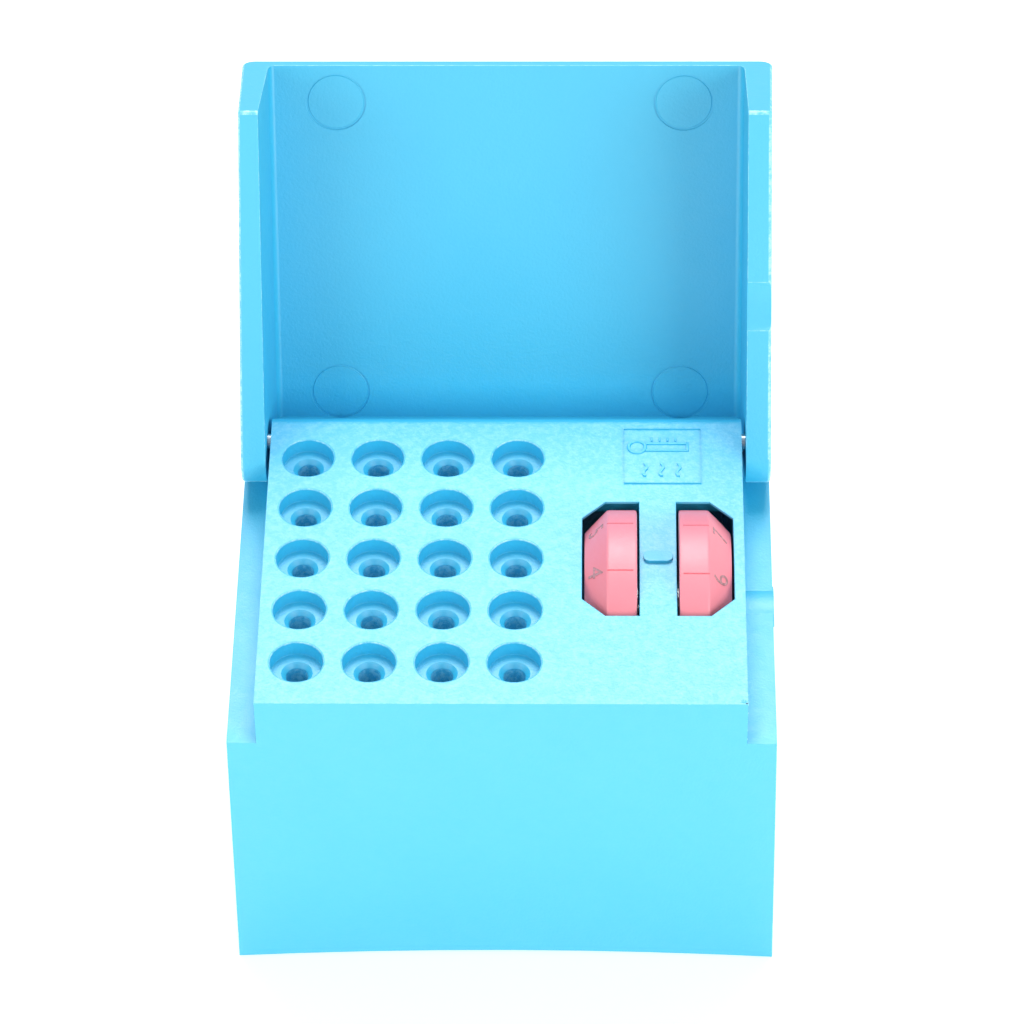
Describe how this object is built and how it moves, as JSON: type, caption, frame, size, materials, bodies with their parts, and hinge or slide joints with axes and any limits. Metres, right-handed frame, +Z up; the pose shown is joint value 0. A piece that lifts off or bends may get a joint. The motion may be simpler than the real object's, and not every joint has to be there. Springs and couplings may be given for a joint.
{
  "type": "dental bur and file block with flip lid",
  "caption": "Flip-lid moulded block with a deck of seated holes for dental burs and root-canal files, and number wheels that count sterilising cycles.",
  "frame": {"origin": "centre of the base's underside, on the surface it stands on", "axes": "+Z up; -Y towards the front edge, +Y towards the lid's hinge; +X to the right seen from the front, along the hinge axis"},
  "size_m": [0.0612, 0.0676, 0.0827],
  "materials": {
    "cyan_plastic": "satin moulded, fine spark texture",
    "pink_plastic": "satin moulded",
    "steel": "bright drawn"
  },
  "bodies": {
    "base": {"base_body": "cyan_plastic", "bottom_cover": "cyan_plastic", "hinge_pin_left": "steel", "hinge_pin_right": "steel", "wheel_axle": "steel", "spring_washer_left": "steel", "spring_washer_right": "steel", "axle_retainer_left": "steel", "axle_retainer_right": "steel"},
    "lid": {"lid": "cyan_plastic"},
    "left_wheel": {"counter_wheel_left": "pink_plastic"},
    "right_wheel": {"counter_wheel_right": "pink_plastic"}
  },
  "joints": [
    {"name": "lid_hinge", "type": "hinge", "parent": "base", "child": "lid", "pos_m": [0, 0.0193, 0.0413], "axis": [1, 0, 0], "range_deg": [0, 110]},
    {"name": "left_wheel_turn", "type": "hinge", "parent": "base", "child": "left_wheel", "pos_m": [0.012, -0.0007, 0.0339], "axis": [1, 0, 0], "continuous": true},
    {"name": "right_wheel_turn", "type": "hinge", "parent": "base", "child": "right_wheel", "pos_m": [0.0226, -0.0007, 0.0339], "axis": [1, 0, 0], "continuous": true}
  ]
}
